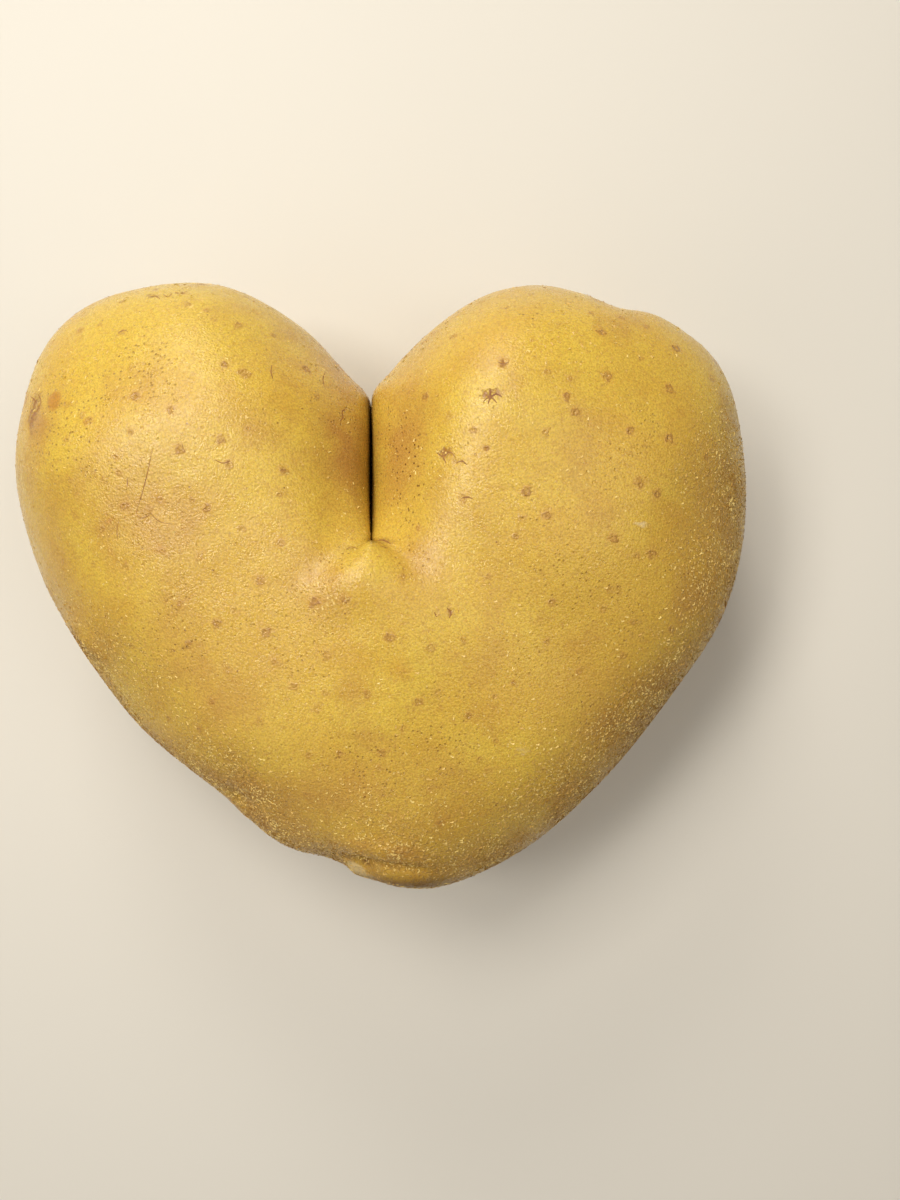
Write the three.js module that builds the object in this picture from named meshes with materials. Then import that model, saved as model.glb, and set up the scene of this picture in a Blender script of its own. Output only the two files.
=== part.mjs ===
// A heart-shaped potato, lying on its back, in millimetres.
// X runs to the right across both lobes, Y runs up from the blunt tip to the tops of the lobes, and
// Z rises from the surface that it lies on to the face with the open cleft.

import * as THREE from 'three';

const skinColour = '#dcb455';
const skinRoughness = 0.5;

// The body is a row of ribs that fans round the cleft, from the top of the left lobe past the tip to
// the top of the right lobe. A rib runs from the inner side, which is the notch and the cleft wall, to
// the outline. Its front and back are its greatest rise on each side, as shares of its half length.
// Its wall says how squarely the rise begins at the inner end, where 2 is round and more is steeper.
// Its crest is the share of the rib where the rise peaks. Its rim says how squarely it ends at the
// outline.
const ribColumns = ['innerX', 'innerY', 'outerX', 'outerY', 'front', 'back', 'wall', 'crest', 'rim'];
const ribRows = [
  [-39.2, 58.6, -39.2, 58.6, 0.90, 0.84, 2.1, 0.50, 2.2],
  [-30.0, 57.1, -49.0, 56.8, 0.90, 0.84, 2.1, 0.50, 2.2],
  [-21.9, 53.3, -59.4, 52.2, 0.90, 0.84, 2.1, 0.50, 2.2],
  [-14.8, 48.3, -66.6, 43.2, 0.90, 0.84, 2.1, 0.50, 2.2],
  [-9.3, 42.4, -70.3, 31.0, 0.90, 0.84, 2.1, 0.49, 2.2],
  [-4.7, 36.6, -71.3, 17.6, 0.90, 0.84, 2.1, 0.46, 2.3],
  [-3.0, 30.4, -67.8, 4.0, 0.90, 0.86, 2.15, 0.42, 2.3],
  [-2.9, 24.6, -61.2, -9.5, 0.90, 0.89, 2.2, 0.37, 2.4],
  [-2.9, 19.8, -53.0, -21.6, 0.92, 0.94, 2.2, 0.32, 2.5],
  [-2.9, 16.0, -42.7, -32.1, 0.96, 0.98, 2.25, 0.26, 2.6],
  [-2.9, 13.2, -31.5, -41.7, 0.97, 0.99, 2.3, 0.20, 2.6],
  [-2.9, 11.0, -19.4, -50.8, 0.94, 0.96, 2.4, 0.15, 2.6],
  [-2.85, 9.3, -6.0, -57.0, 0.91, 0.92, 2.5, 0.12, 2.6],
  [-2.55, 8.2, 6.5, -59.3, 0.885, 0.89, 2.6, 0.11, 2.6],
  [-2.25, 9.3, 18.8, -55.4, 0.885, 0.88, 2.5, 0.12, 2.6],
  [-2.2, 11.0, 30.7, -48.6, 0.88, 0.88, 2.4, 0.16, 2.6],
  [-2.2, 13.2, 40.7, -38.8, 0.89, 0.89, 2.3, 0.21, 2.6],
  [-2.2, 16.0, 49.9, -28.3, 0.88, 0.88, 2.25, 0.26, 2.5],
  [-2.2, 19.8, 58.6, -17.5, 0.87, 0.84, 2.2, 0.29, 2.4],
  [-2.2, 24.6, 65.0, -5.6, 0.86, 0.80, 2.2, 0.31, 2.3],
  [-2.3, 30.4, 68.3, 7.5, 0.86, 0.78, 2.15, 0.33, 2.2],
  [-1.6, 36.6, 69.5, 20.0, 0.87, 0.78, 2.1, 0.35, 2.2],
  [2.6, 42.8, 67.8, 33.2, 0.89, 0.80, 2.1, 0.37, 2.2],
  [7.3, 48.0, 62.5, 43.4, 0.90, 0.83, 2.1, 0.40, 2.2],
  [13.4, 52.8, 53.5, 50.1, 0.90, 0.84, 2.1, 0.43, 2.2],
  [21.0, 56.4, 41.6, 54.8, 0.90, 0.84, 2.1, 0.47, 2.2],
  [30.6, 58.3, 30.6, 58.3, 0.90, 0.84, 2.1, 0.50, 2.2],
];
const sectionsPerRow = 4;
const sectionsPerTipRow = 7;
const tipRows = { first: 11, last: 14 };
const pointsPerQuarter = 12;

// Height of the outline above the surface that the potato lies on.
const outlineHeight = 28.2;

// The cleft leans to the right towards the face and towards the back, and is straight in the middle.
const cleft = { x: -2.6, lean: 0.09, straight: 6, width: 14 };

// A web of flesh stands up below the foot of the cleft, straight towards the face.
const web = { x: -2.4, y: -0.5, reach: [10, 11], rise: 1.7 };

// The skin round the foot of the cleft is relaxed, on the face and on the back, into a smooth saddle.
const saddles = [
  { x: -0.6, y: 5.5, z: 54 },
  { x: -4.4, y: 5.5, z: 3 },
];
const saddleReach = 9;
const saddlePasses = 14;

// Swellings, and hollows with a rise below zero, raised from the skin. Each one has a centre on the
// skin, a reach each way, and a turn about Z in degrees.
const swellings = [
  // hollows on both sides of the web
  { at: [-8.8, 4.4, 55], reach: [4.5, 3.2, 9], turn: -35, rise: -0.8 },
  { at: [5.6, 5.4, 56], reach: [4.2, 3, 9], turn: 35, rise: -0.6 },
  // second shoulder of the right lobe, and the dip before it
  { at: [50, 48.5, 40], reach: [4, 4, 11], turn: 0, rise: 0.7 },
  { at: [43.6, 51.5, 40], reach: [3.6, 4, 11], turn: 0, rise: -0.9 },
  // fold on the left edge
  { at: [-53, -9.6, 46], reach: [6, 1.9, 5], turn: -36, rise: 0.7 },
  { at: [-57.5, -4.6, 44], reach: [4, 3, 6], turn: -36, rise: -0.6 },
  // dent and bump on the lower left edge
  { at: [-25.2, -38.6, 47], reach: [3.2, 2.6, 5], turn: -35, rise: -0.6 },
  { at: [-20, -47.4, 38], reach: [5, 5, 12], turn: 0, rise: 0.7 },
  { at: [-9.6, -51.5, 41], reach: [4.6, 4, 10], turn: 0, rise: -1.6 },
  // eye near the tip: its pit, the groove that runs on from it, the brow above and the lip below
  { at: [-2.2, -49.2, 49], reach: [3, 2, 5], turn: -12, rise: -1.5 },
  { at: [7, -50.4, 50], reach: [9, 1.9, 5], turn: -10, rise: -1.0 },
  { at: [-1, -46, 52], reach: [8, 2.6, 6], turn: -8, rise: 0.6 },
  { at: [5, -53.6, 46], reach: [8, 3, 7], turn: -6, rise: 0.7 },
];

// Shallow eyes on the back and the sides: place, and turn about Z in degrees.
const hiddenEyes = [
  { at: [-40, 22, 2], turn: 25 },
  { at: [33, 26, 1], turn: -30 },
  { at: [9, -36, 3], turn: 8 },
  { at: [-47, 50, 24], turn: 35 },
  { at: [67.5, -2, 22], turn: 75 },
];
const hiddenPit = { reach: [4.2, 2, 5], rise: -1.1 };
const hiddenBrow = { reach: [5, 2.2, 5], rise: 0.6 };
const browAway = 3.4;

// Long, low waves over the whole skin: length along each axis, and height.
const waves = [
  { along: [46, 61, 55], start: 0.8, rise: 0.3 },
  { along: [-58, 39, 47], start: 2.6, rise: 0.25 },
];

// Half the height over which the pressed flat spot blends into the round skin.
const restSoftness = 1.1;

// A smooth curve through a column of the rows, with one value added past each end. The control
// values are moved until the curve passes through every value.
function smoothColumn(values, before, after) {
  const reached = [before, ...values, after];
  const controls = [...reached];
  const passes = 40;
  for (let pass = 0; pass < passes; pass++) {
    for (let i = 1; i < controls.length - 1; i++) {
      const curveHere = (controls[i - 1] + 4 * controls[i] + controls[i + 1]) / 6;
      controls[i] += reached[i] - curveHere;
    }
  }
  return (at) => {
    const row = Math.min(Math.floor(at), values.length - 2);
    const f = at - row;
    const g = 1 - f;
    const weights = [g ** 3, 3 * f ** 3 - 6 * f ** 2 + 4, 3 * g ** 3 - 6 * g ** 2 + 4, f ** 3];
    return weights.reduce((sum, weight, i) => sum + weight * controls[row + i], 0) / 6;
  };
}

// Past each end the inner side runs on as the outline and the outline as the inner side, so that the
// skin is smooth over the tops of the lobes.
const runsOnAs = { innerX: 'outerX', innerY: 'outerY', outerX: 'innerX', outerY: 'innerY' };
const column = (name) => ribRows.map((row) => row[ribColumns.indexOf(name)]);
const rib = {};
for (const name of ribColumns) {
  const beyond = column(runsOnAs[name] ?? name);
  rib[name] = smoothColumn(column(name), beyond[1], beyond.at(-2));
}

// Evenly spaced points on a quarter of a squared ellipse, from its end on the rib to its peak.
function quarter(halfLength, rise, squareness) {
  const fine = [];
  const steps = 160; // fine enough that even spacing along it is true
  for (let i = 0; i <= steps; i++) {
    const angle = (i / steps) * (Math.PI / 2);
    const along = Math.cos(angle) ** (2 / squareness);
    const up = Math.sin(angle) ** (2 / squareness);
    fine.push(new THREE.Vector2(halfLength * along, rise * up));
  }
  return new THREE.Path(fine).getSpacedPoints(pointsPerQuarter);
}

// One closed ring of points round a rib: out over the front and home along the back.
function ring(at) {
  const inner = new THREE.Vector3(rib.innerX(at), rib.innerY(at), 0);
  const outer = new THREE.Vector3(rib.outerX(at), rib.outerY(at), 0);
  const outward = outer.clone().sub(inner);
  const length = outward.length();
  const crest = inner.clone().addScaledVector(outward, rib.crest(at));
  const toInner = -rib.crest(at) * length;
  const toOuter = toInner + length;
  const front = (rib.front(at) * length) / 2;
  const back = (rib.back(at) * length) / 2;
  const innerFront = quarter(toInner, front, rib.wall(at));
  const outerFront = quarter(toOuter, front, rib.rim(at)).reverse();
  const outerBack = quarter(toOuter, -back, rib.rim(at));
  const innerBack = quarter(toInner, -back, rib.wall(at)).reverse();
  const points = [innerFront, outerFront, outerBack, innerBack].flatMap((part) => part.slice(0, -1));
  return points.map(({ x, y }) => crest.clone().addScaledVector(outward, x / length).setZ(y));
}

// Where along the rows each ring is taken, closer together round the tip.
function ringPlaces() {
  const places = [];
  for (let row = 0; row < ribRows.length - 1; row++) {
    const atTip = row >= tipRows.first && row <= tipRows.last;
    const sections = atTip ? sectionsPerTipRow : sectionsPerRow;
    for (let i = 0; i < sections; i++) {
      places.push(row + i / sections);
    }
  }
  return places.slice(1);
}

// The skin over all ribs, closed at the top of each lobe by a single point.
function body() {
  const rings = ringPlaces().map(ring);
  const lastRow = ribRows.length - 1;
  const leftTop = new THREE.Vector3(rib.innerX(0), rib.innerY(0), 0);
  const rightTop = new THREE.Vector3(rib.innerX(lastRow), rib.innerY(lastRow), 0);
  const points = [leftTop, ...rings.flat(), rightTop];

  const round = 4 * pointsPerQuarter;
  const last = points.length - 1;
  const faces = [];
  for (let k = 0; k < round; k++) {
    const next = (k + 1) % round;
    faces.push(0, 1 + next, 1 + k);
    faces.push(last, last - round + k, last - round + next);
    for (let i = 0; i < rings.length - 1; i++) {
      const here = 1 + i * round;
      const there = here + round;
      faces.push(here + k, there + next, there + k);
      faces.push(here + k, here + next, there + next);
    }
  }
  const geometry = new THREE.BufferGeometry().setFromPoints(points);
  geometry.setIndex(faces);
  return geometry;
}

// Puts the middle of the plan on the Z axis.
function centrePlan(geometry) {
  geometry.computeBoundingBox();
  const middle = geometry.boundingBox.getCenter(new THREE.Vector3());
  geometry.translate(-middle.x, -middle.y, 0);
}

// The pit of an eye and the brow on its upper side, as two swellings.
function eye({ at, turn }) {
  const up = new THREE.Vector3(0, browAway, 0);
  up.applyAxisAngle(new THREE.Vector3(0, 0, 1), THREE.MathUtils.degToRad(turn));
  const browAt = new THREE.Vector3(...at).add(up).toArray();
  return [
    { at, turn, ...hiddenPit },
    { at: browAt, turn, ...hiddenBrow },
  ];
}

function swellingAt(point, { at, reach, turn, rise }) {
  const away = point.clone().sub(new THREE.Vector3(...at));
  away.applyAxisAngle(new THREE.Vector3(0, 0, 1), -THREE.MathUtils.degToRad(turn));
  away.divide(new THREE.Vector3(...reach));
  return rise * Math.exp(-away.lengthSq());
}

function webAt(point) {
  const across = (point.x - web.x) / web.reach[0];
  const along = (point.y - web.y) / web.reach[1];
  return web.rise * Math.exp(-(across ** 2) - along ** 2);
}

function waveAt(point, { along, start, rise }) {
  const turns = point.x / along[0] + point.y / along[1] + point.z / along[2];
  return rise * Math.sin(start + 2 * Math.PI * turns);
}

// Height above the resting plane, with the lowest skin pressed flat onto it.
function pressed(height) {
  if (height >= restSoftness) {
    return height;
  }
  return height <= -restSoftness ? 0 : (height + restSoftness) ** 2 / (4 * restSoftness);
}

function sculpt(geometry) {
  geometry.computeVertexNormals();
  const { position, normal } = geometry.attributes;
  const allSwellings = [...swellings, ...hiddenEyes.flatMap(eye)];
  const point = new THREE.Vector3();
  const outward = new THREE.Vector3();
  for (let i = 0; i < position.count; i++) {
    point.fromBufferAttribute(position, i);
    outward.fromBufferAttribute(normal, i);
    const aboveOutline = point.z - outlineHeight;
    point.z += (webAt(point) * Math.max(aboveOutline, 0)) / outlineHeight;
    const swelling = allSwellings.reduce((sum, each) => sum + swellingAt(point, each), 0);
    const wave = waves.reduce((sum, each) => sum + waveAt(point, each), 0);
    point.addScaledVector(outward, swelling + wave);
    const fromMiddle = Math.hypot(aboveOutline, cleft.straight) - cleft.straight;
    point.x += cleft.lean * fromMiddle * Math.exp(-(((point.x - cleft.x) / cleft.width) ** 2));
    point.z = pressed(point.z);
    position.setXYZ(i, ...point);
  }
}

// Moves each point near a saddle towards the middle of its neighbours, a little at a time.
function relaxSaddles(geometry) {
  const { position } = geometry.attributes;
  const neighbours = Array.from({ length: position.count }, () => new Set());
  const corners = geometry.index.array;
  for (let i = 0; i < corners.length; i += 3) {
    const [a, b, c] = corners.slice(i, i + 3);
    neighbours[a].add(b).add(c);
    neighbours[b].add(c).add(a);
    neighbours[c].add(a).add(b);
  }
  const point = new THREE.Vector3();
  const shareNear = (i) => {
    point.fromBufferAttribute(position, i);
    return Math.max(...saddles.map((foot) => Math.exp(-point.distanceToSquared(foot) / saddleReach ** 2)));
  };
  const shares = neighbours.map((_, i) => shareNear(i));
  const leastShare = 0.02;
  const near = shares.flatMap((share, i) => (share > leastShare ? [i] : []));
  for (let pass = 0; pass < saddlePasses; pass++) {
    const moved = near.map((i) => {
      const middle = new THREE.Vector3();
      neighbours[i].forEach((n) => middle.add(new THREE.Vector3().fromBufferAttribute(position, n)));
      middle.divideScalar(neighbours[i].size);
      return new THREE.Vector3().fromBufferAttribute(position, i).lerp(middle, shares[i] / 2);
    });
    moved.forEach((place, k) => position.setXYZ(near[k], ...place));
  }
}

const skin = body();
centrePlan(skin);
skin.translate(0, 0, outlineHeight);
sculpt(skin);
relaxSaddles(skin);
centrePlan(skin);
skin.deleteAttribute('normal');

const potato = new THREE.Mesh(
  skin,
  new THREE.MeshStandardMaterial({ color: skinColour, roughness: skinRoughness, metalness: 0 }),
);
potato.name = 'potato';

const part = new THREE.Group();
part.add(potato);

export default part;
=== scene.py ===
"""A heart-shaped potato that lies on its back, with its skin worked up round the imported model.

Sizes are in metres, and MM turns millimetres into them. Places are in the model's own frame: X across
both lobes, Y from the blunt tip to the tops of the lobes, and Z up from the floor to the face with the
open cleft. A mark that was read off the picture is given by its pixel there, across and down, and is
laid on the skin from the camera.
"""

import math
from collections import namedtuple

import bmesh
import bpy
import numpy as np
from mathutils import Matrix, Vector, noise
from mathutils.bvhtree import BVHTree
from mathutils.kdtree import KDTree


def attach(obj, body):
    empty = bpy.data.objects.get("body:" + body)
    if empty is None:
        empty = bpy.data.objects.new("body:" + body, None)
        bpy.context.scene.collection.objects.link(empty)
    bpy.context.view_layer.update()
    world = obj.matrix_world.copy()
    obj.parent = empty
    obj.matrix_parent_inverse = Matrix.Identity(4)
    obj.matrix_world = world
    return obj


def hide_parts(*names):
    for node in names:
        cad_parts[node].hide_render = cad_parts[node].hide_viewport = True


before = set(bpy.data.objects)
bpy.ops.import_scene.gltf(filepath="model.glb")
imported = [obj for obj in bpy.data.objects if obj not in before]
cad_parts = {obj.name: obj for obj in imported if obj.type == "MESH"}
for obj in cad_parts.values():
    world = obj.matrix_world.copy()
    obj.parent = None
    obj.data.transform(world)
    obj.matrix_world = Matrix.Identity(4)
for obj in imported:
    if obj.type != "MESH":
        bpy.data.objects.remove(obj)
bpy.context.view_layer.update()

MM = 0.001


# Camera

PICTURE_WIDE, PICTURE_HIGH = 900, 1200
PICTURE_MIDDLE = (380, 580)  # middle of the potato in the picture
EYE_POINT = Vector((12.4, -3.0, 208.0)) * MM  # the camera's place
LENS, SENSOR = 27.03, 36.0  # millimetres
CLIP_NEAR, CLIP_FAR = 0.01, 10
PIXELS_PER_SLOPE = LENS / SENSOR * PICTURE_HIGH
PIXEL = 0.175 * MM  # size of a picture pixel on the face of the potato


def make_camera():
    """The camera hangs over the potato and looks straight down at its face."""
    data = bpy.data.cameras.new("camera")
    data.lens, data.sensor_width = LENS, SENSOR
    data.clip_start, data.clip_end = CLIP_NEAR, CLIP_FAR
    camera = bpy.data.objects.new("camera", data)
    camera.location = EYE_POINT
    bpy.context.scene.collection.objects.link(camera)
    bpy.context.scene.camera = camera


def sight_line(across, down):
    """Direction from the camera through a pixel of the picture."""
    x = (across - PICTURE_WIDE / 2) / PIXELS_PER_SLOPE
    y = (PICTURE_HIGH / 2 - down) / PIXELS_PER_SLOPE
    return Vector((x, y, -1)).normalized()


make_camera()


# Pores, by their pixels in the picture

LEFT_LOBE_PORES = [
    (131, 368), (136, 396), (171, 409), (131, 432), (179, 450), (221, 439), (229, 464), (224, 365),
    (244, 373), (272, 372), (306, 369), (304, 385), (317, 396), (343, 416), (327, 437), (283, 470),
    (280, 494), (281, 543), (260, 580), (199, 556), (162, 550), (110, 550), (102, 529), (93, 565),
    (125, 567), (75, 515), (70, 480), (67, 440), (116, 457), (118, 472), (102, 480), (125, 506),
    (149, 508), (160, 500), (192, 500), (207, 509), (242, 529), (88, 421), (82, 415), (67, 405),
    (100, 325), (80, 330), (122, 332), (53, 342), (122, 302), (207, 310), (214, 319), (238, 325),
    (273, 335), (187, 304), (183, 293), (248, 429), (77, 593), (168, 596), (63, 561),
]
RIGHT_LOBE_PORES = [
    (425, 397), (503, 363), (473, 430), (486, 448), (547, 372), (570, 378), (566, 397), (575, 412),
    (607, 376), (546, 432), (630, 431), (669, 438), (669, 389), (681, 412), (641, 358), (676, 348),
    (601, 332), (591, 313), (621, 318), (646, 327), (558, 324), (532, 339), (531, 294), (506, 308),
    (453, 337), (449, 416), (463, 498), (526, 492), (547, 515), (522, 518), (516, 536), (418, 528),
    (488, 577), (640, 483), (656, 494), (686, 481), (706, 457), (729, 497), (614, 538), (651, 553),
    (636, 556), (693, 569), (402, 577), (617, 589), (712, 379),
]
LOWER_BODY_PORES = [
    (314, 602), (345, 600), (217, 623), (266, 632), (390, 637), (430, 648), (327, 655), (275, 662),
    (227, 670), (294, 686), (325, 693), (317, 708), (367, 695), (403, 728), (258, 722), (211, 701),
    (199, 729), (309, 755), (340, 754), (381, 753), (378, 768), (307, 795), (383, 795), (171, 650),
    (188, 645), (180, 604), (166, 597), (132, 646), (232, 610), (169, 718), (438, 692), (419, 702),
    (450, 612), (463, 640), (539, 620), (552, 602), (547, 642), (611, 590), (603, 609), (580, 671),
    (514, 683), (495, 696), (469, 716), (623, 656), (633, 622), (671, 629), (496, 741), (488, 770),
    (479, 759), (430, 790), (441, 823),
]
# The clearest of all these pores, which are drawn larger and darker.
CLEAR_PORES = {
    (224, 365), (244, 373), (136, 396), (171, 409), (221, 439), (229, 464), (283, 470), (207, 509),
    (179, 450), (503, 363), (566, 397), (575, 412), (630, 431), (669, 438), (614, 538), (651, 553),
    (547, 515), (640, 483), (217, 623), (266, 632), (345, 600), (314, 602), (390, 637), (669, 389),
    (306, 369), (425, 397), (607, 376), (601, 332), (260, 580), (676, 348), (526, 492), (656, 494),
}


# Soft marks: pixel, half width and half height in pixels, turn in degrees, and strength

# Tan clouds. Most are the skin's own colour, but those on the flanks of the cleft are partly painted shade.
TAN_CLOUDS_AND_SHADE = [
    (160, 510, 46, 70, 10, 0.55),
    (175, 600, 22, 55, -8, 0.5),
    # Painted shade with some tan, on the left flank of the cleft.
    (345, 440, 24, 80, 5, 1.0),
    (345, 370, 24, 50, 25, 0.9),
    # Painted shade with some tan, on the right flank of the cleft.
    (400, 440, 30, 90, 0, 0.75),
    (385, 850, 50, 12, -8, 0.8),
    (420, 560, 26, 34, 20, 0.5),
    (300, 560, 60, 30, -20, 0.3),
    (250, 690, 60, 40, -40, 0.35),
    (360, 800, 120, 36, 0, 0.5),
    (600, 720, 60, 60, -40, 0.45),
    (700, 560, 26, 80, 0, 0.2),
    (520, 560, 60, 40, 0, 0.2),
    (250, 420, 30, 20, -30, 0.3),
    (40, 420, 20, 36, 0, 0.8),
    (55, 560, 24, 60, 0, 0.4),
    (640, 400, 60, 60, 0, 0.15),
]
RUST_STAINS = [
    (54, 400, 9, 11, 0, 1.3),
    (397, 668, 26, 18, -20, 0.45),
    (166, 597, 7, 16, 0, 0.35),
    (110, 521, 10, 4, 0, 0.6),
    (88, 421, 5, 4, 0, 0.7),
    (160, 550, 14, 10, 0, 0.35),
    (375, 540, 6, 4, 0, 0.6),
    (558, 734, 9, 7, 0, 0.5),
    (420, 700, 20, 12, 30, 0.3),
]
BROWN_SCUFFS = [
    (490, 395, 13, 7, 10, 1.0),
    (502, 364, 6, 4, 0, 0.8),
    (445, 454, 12, 6, 5, 0.9),
    (458, 462, 8, 5, 0, 0.6),
    (473, 431, 8, 4, 0, 0.6),
    (156, 296, 14, 5, -8, 0.8),
    (180, 293, 7, 3, 0, 0.8),
    (35, 398, 8, 6, 60, 0.7),
    (34, 410, 10, 24, 0, 1.1),
    (53, 398, 5, 8, 0, 0.5),
    (486, 448, 6, 4, 0, 0.7),
    (463, 498, 8, 3, -5, 0.5),
    (614, 539, 8, 4, 0, 0.5),
    (656, 494, 7, 4, 0, 0.4),
    (450, 612, 4, 6, 0, 0.8),
    (436, 614, 8, 5, 0, 0.5),
    (438, 692, 10, 8, 30, 0.4),
    (237, 796, 9, 5, -30, 0.9),
    (150, 360, 24, 16, 20, 0.35),
    (168, 376, 20, 14, 0, 0.3),
    (400, 450, 16, 50, 0, 0.35),
    (420, 560, 22, 22, 0, 0.35),
]
SPECKLED_PLACES = [
    (408, 470, 24, 60, 0, 1.4),
    (415, 555, 26, 24, 0, 0.8),
    (335, 560, 34, 16, 25, 0.8),
    (150, 360, 30, 22, 20, 0.9),
    (170, 385, 20, 20, 0, 0.7),
    (465, 450, 34, 40, 0, 0.5),
    (530, 315, 14, 14, 0, 1.0),
    (490, 400, 26, 20, 0, 0.6),
    (300, 590, 50, 24, 0, 0.5),
    (150, 520, 44, 50, 0, 0.5),
    (445, 690, 30, 20, 0, 0.5),
    (611, 592, 12, 12, 0, 0.9),
    (175, 610, 22, 40, 0, 0.6),
    (156, 298, 24, 8, 0, 0.8),
    (350, 410, 20, 60, 0, 0.5),
]
PALE_SCARS = [
    (357, 869, 12, 7, -35, 1.2),
    (366, 878, 10, 4, -20, 1.0),
    (645, 525, 4, 3, 0, 1.0),
    (638, 524, 3, 2, 0, 0.8),
    (522, 751, 12, 8, 0, 0.5),
    (240, 415, 14, 3, 40, 0.4),
]
# Painted shade, deep brown: in and round the eye's pit, under its brow, in the groove and under the lip at
# the tip, on the left wall of the cleft, at the foot of the slit, and in the dent on the lower left edge.
PAINTED_SHADES = [
    (367, 861, 6, 3.5, -28, 1.0),
    (390, 866, 16, 2.0, -8, 0.45),
    (346, 856, 14, 3, -14, 0.4),
    (412, 886, 54, 10, -4, 0.8),
    (362, 480, 10, 60, 0, 0.25),
    (372, 541, 4, 3, 0, 0.7),
    (386, 541, 9, 2.5, -10, 0.5),
    (350, 549, 9, 2, 0, 0.3),
    (236, 795, 6, 3, -35, 0.8),
]
# Skin that has no flakes on it.
BARE_PLACES = [
    (412, 882, 44, 10, -6, 1.2),
    (358, 868, 14, 9, -35, 1.0),
]


# Scratches and cracks: half width in pixels, then the pixels along the line

CRACKS = [
    # scratches in the middle of the left lobe
    (0.45, [(152, 450), (149, 466), (145, 483), (140, 500), (136, 514)]),
    (0.4, [(136, 514), (142, 518), (150, 515)]),
    (0.4, [(119, 520), (117, 530), (118, 541)]),
    (0.4, [(149, 510), (156, 519), (164, 523), (173, 524)]),
    (0.5, [(128, 478), (127, 487)]),
    # short cracks on the left lobe, beside the cleft and at its top
    (0.8, [(345, 409), (342, 412), (343, 417), (340, 421)]),
    (0.6, [(325, 372), (323, 379), (324, 386)]),
    (0.7, [(272, 365), (271, 372), (273, 379)]),
    # star and other cracks in the scuffs of the right lobe
    (0.9, [(484, 393), (490, 397), (496, 394), (502, 397)]),
    (0.9, [(490, 388), (490, 397), (488, 404)]),
    (0.7, [(483, 402), (490, 397), (497, 403)]),
    (0.7, [(498, 362), (503, 364), (509, 362)]),
    (0.6, [(503, 358), (503, 368)]),
    (0.8, [(436, 452), (443, 456), (450, 452), (455, 457)]),
    (0.7, [(444, 447), (443, 456), (446, 463)]),
    (0.6, [(456, 463), (462, 461), (467, 465)]),
    # cracks at the top and the edge of the left lobe
    (0.8, [(148, 298), (155, 296), (160, 299)]),
    (0.7, [(163, 294), (168, 297), (172, 293)]),
    (0.8, [(175, 292), (181, 294), (187, 291)]),
    (0.7, [(118, 333), (124, 330), (128, 332)]),
    (0.8, [(30, 396), (35, 401), (33, 408)]),
    (0.7, [(38, 394), (41, 402), (37, 410)]),
    # cracks through single pores
    (0.7, [(462, 498), (468, 497), (473, 499)]),
    (0.6, [(279, 470), (286, 470)]),
    (0.6, [(215, 460), (223, 463), (230, 461)]),
    # creases at the end of the slit, and below the mound
    (0.8, [(376, 541), (383, 540), (391, 544)]),
    (0.6, [(380, 546), (388, 548)]),
    (0.6, [(346, 549), (352, 547), (358, 549)]),
    (0.7, [(447, 608), (451, 613), (449, 618)]),
    (0.6, [(434, 612), (437, 617)]),
]


# Soft shapes and smooth noise

WAVES_STEP = (17.3, 5.1, 9.7)  # how far apart two seeds' waves are taken


def soft_spot(points, centre, reach, turn):
    """One at the centre, falling softly to zero past the reach each way, turned about Z."""
    cos, sin = math.cos(turn), math.sin(turn)
    away = points - np.array(centre)
    along = (away[:, 0] * cos + away[:, 1] * sin) / reach[0]
    across = (-away[:, 0] * sin + away[:, 1] * cos) / reach[1]
    deep = away[:, 2] / reach[2]
    return np.exp(-(along**2 + across**2 + deep**2))


def smoothstep(low, high, values):
    """Zero at the low value, one at the high value, with a smooth change between them."""
    share = np.clip((values - low) / (high - low), 0, 1)
    return share * share * (3 - 2 * share)


def between(rise, fall, values):
    """One between two smooth changes: up from zero over the rise, and down again over the fall."""
    return smoothstep(*rise, values) * (1 - smoothstep(*fall, values))


def waves_at(points, size, seed):
    """Smooth noise from -1 to 1 with lumps of about this size."""
    offset = Vector([seed * step for step in WAVES_STEP])
    return np.array([noise.noise(Vector(point) / size + offset) for point in points])


# Meshes


def points_of(mesh):
    """Places of a mesh's corners, a row for each."""
    places = np.empty(len(mesh.vertices) * 3, np.float32)
    mesh.vertices.foreach_get("co", places)
    return places.reshape(-1, 3).astype(float)


def normals_of(mesh):
    """Directions in which the skin faces at a mesh's corners, a row for each."""
    ways = np.empty(len(mesh.vertices) * 3, np.float32)
    mesh.vertex_normals.foreach_get("vector", ways)
    return ways.reshape(-1, 3).astype(float)


def move_points(mesh, points):
    """Puts a mesh's corners at these places."""
    mesh.vertices.foreach_set("co", points.astype(np.float32).ravel())
    mesh.update()


def bake(piece):
    """Turns a piece's modifiers into plain mesh."""
    bpy.context.view_layer.update()
    evaluated = piece.evaluated_get(bpy.context.evaluated_depsgraph_get())
    mesh = bpy.data.meshes.new_from_object(evaluated)
    piece.modifiers.clear()
    old = piece.data
    piece.data = mesh
    bpy.data.meshes.remove(old)
    mesh.name = piece.name


# Body of the potato

MERGE_REACH = 0.001 * MM
JOIN_ANGLE = math.radians(40)  # triangles that meet flatter than this are joined into quads
SKIN_LEVELS = 2
TIP_EYE = Vector((-1.0, -50.8, 45.5)) * MM  # the eye near the blunt tip
FINE_REACHES = (10 * MM, 6 * MM)  # within each of these distances of it, edges are halved once more


def merged_solid():
    """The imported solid's skin with its corners merged and its faces joined into quads."""
    shape = bmesh.new()
    shape.from_mesh(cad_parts["potato"].data)
    bmesh.ops.remove_doubles(shape, verts=shape.verts, dist=MERGE_REACH)
    bmesh.ops.join_triangles(
        shape, faces=shape.faces[:], angle_face_threshold=JOIN_ANGLE, angle_shape_threshold=JOIN_ANGLE
    )
    mesh = bpy.data.meshes.new("potato_skin")
    shape.to_mesh(mesh)
    shape.free()
    return mesh


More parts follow.
